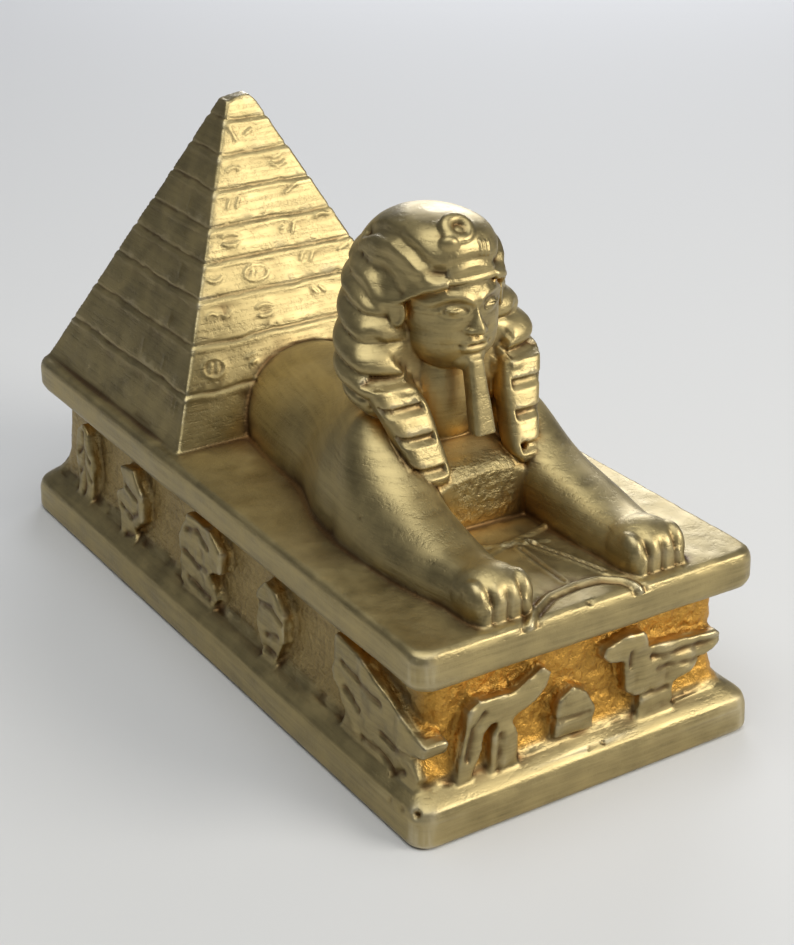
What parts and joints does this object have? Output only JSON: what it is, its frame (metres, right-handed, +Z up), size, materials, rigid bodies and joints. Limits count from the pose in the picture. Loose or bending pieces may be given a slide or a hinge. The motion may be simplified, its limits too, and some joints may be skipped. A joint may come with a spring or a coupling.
{
  "type": "sphinx statue",
  "caption": "Small cast souvenir: a sphinx lying in front of a banded pyramid, on a rectangular plinth with a carved frieze, painted gold.",
  "frame": {"origin": "middle of the plinth's underside, on the surface it stands on", "axes": "+Z up; -Y is where the sphinx looks, so the plinth's length runs along Y; +X is to the right of someone facing the sphinx"},
  "size_m": [0.0644, 0.137, 0.0828],
  "materials": {
    "gold_paint": "satin"
  },
  "bodies": {
    "root": {"sphinx_statue": "gold_paint"}
  },
  "joints": []
}
